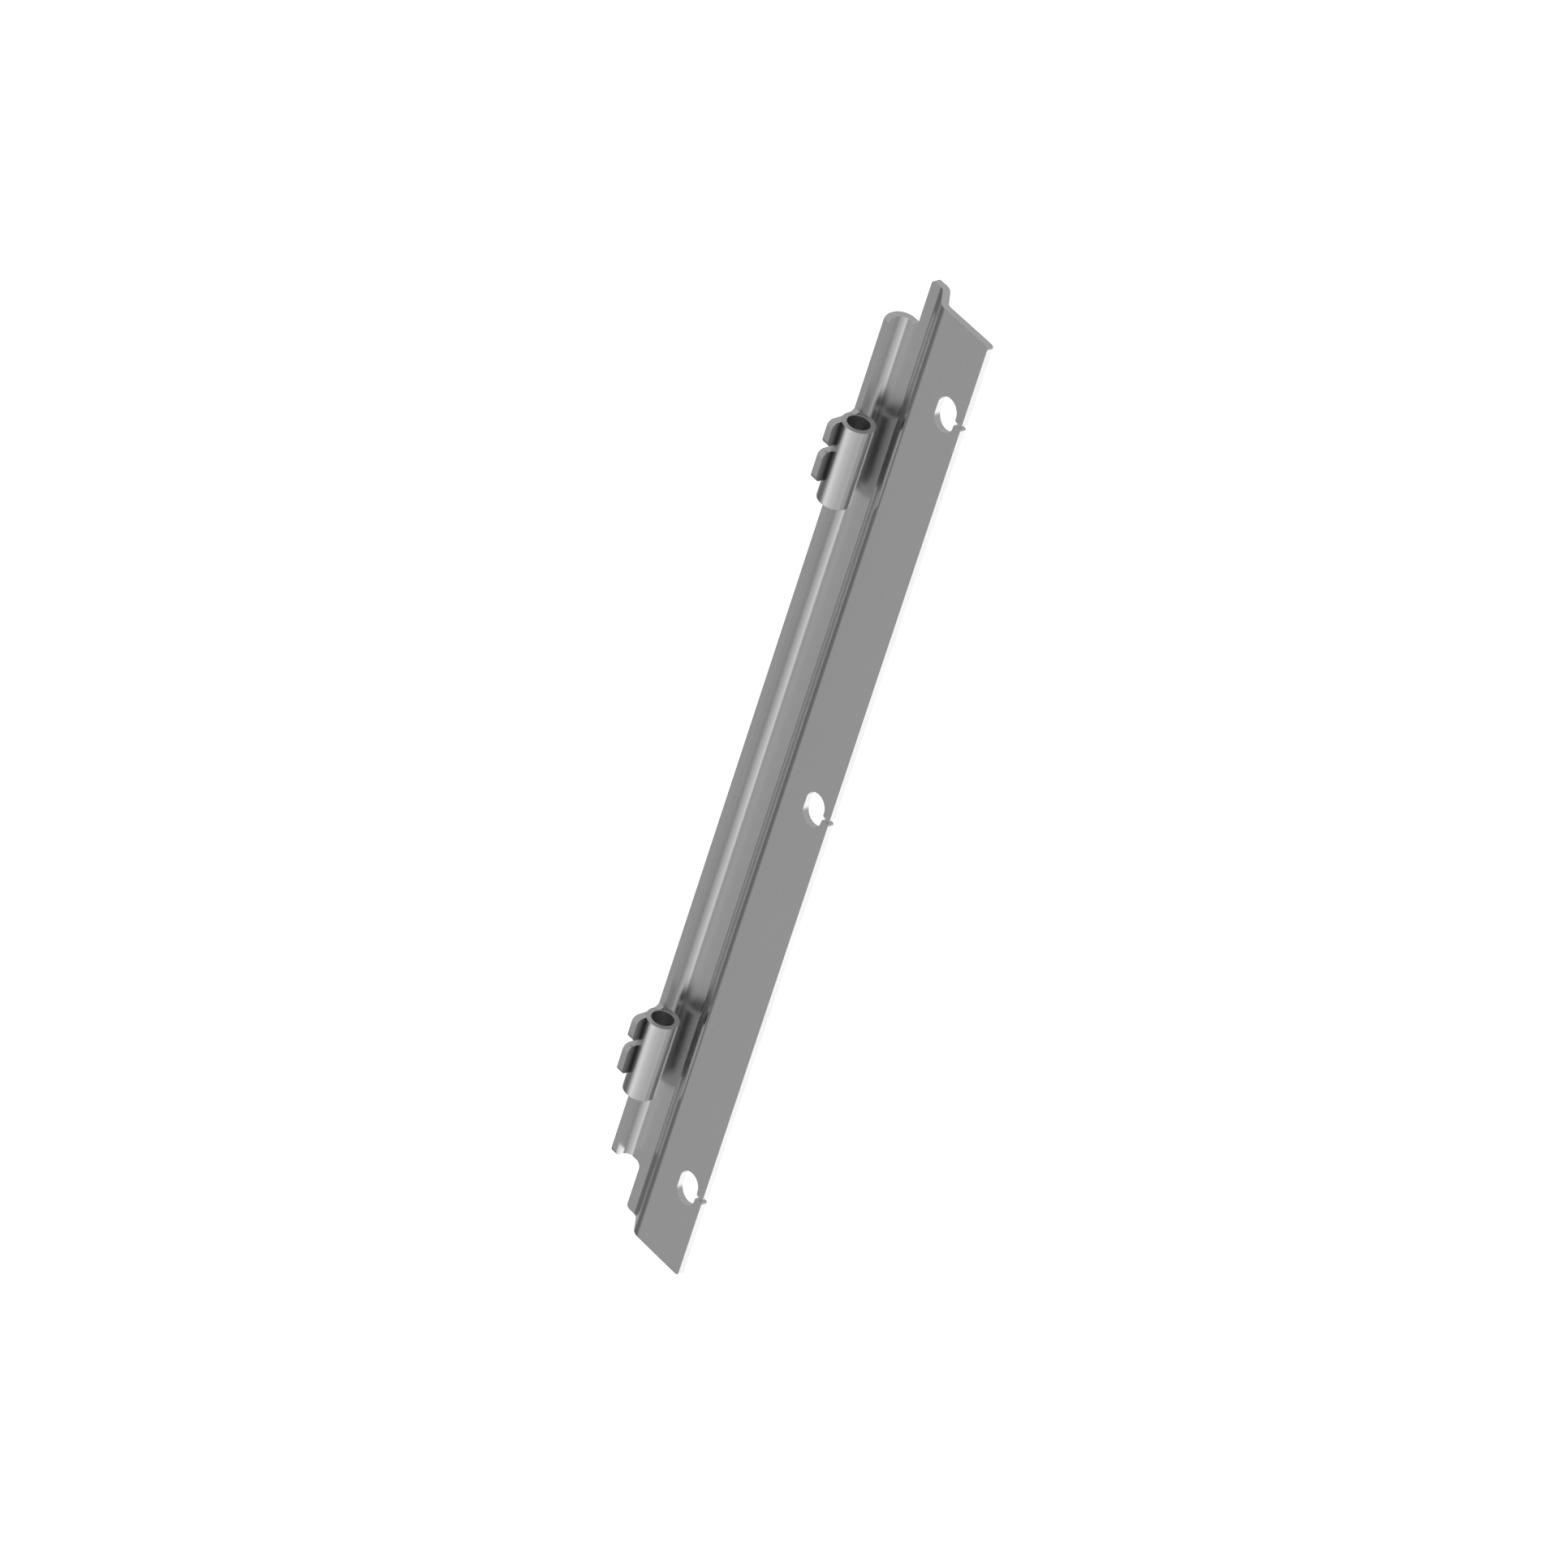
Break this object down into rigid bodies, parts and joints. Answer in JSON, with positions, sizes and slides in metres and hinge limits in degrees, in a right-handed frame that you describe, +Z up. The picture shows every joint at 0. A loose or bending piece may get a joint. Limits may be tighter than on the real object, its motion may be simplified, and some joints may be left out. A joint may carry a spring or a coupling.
{
  "type": "hinge leaf with two knuckles",
  "caption": "Bent sheet-steel hinge half: a long leaf with open screw slots, stepped back to a gutter whose lip carries two short tube knuckles with tabs.",
  "frame": {"origin": "on the pin axis, at the lower end of the lower knuckle tube", "axes": "+Z up along the pin axis towards the upper knuckle; +X from the pin axis towards the leaf's free slotted edge; +Y towards the door or post that the leaf's back rests on"},
  "size_m": [0.0345, 0.0155, 0.3],
  "materials": {
    "steel": "satin, bare sheet steel"
  },
  "bodies": {
    "root": {"leaf_plate": "steel", "knuckle_tube_lower": "steel", "lower_short_tab": "steel", "lower_long_tab": "steel", "knuckle_tube_upper": "steel", "upper_short_tab": "steel", "upper_long_tab": "steel"}
  },
  "joints": []
}
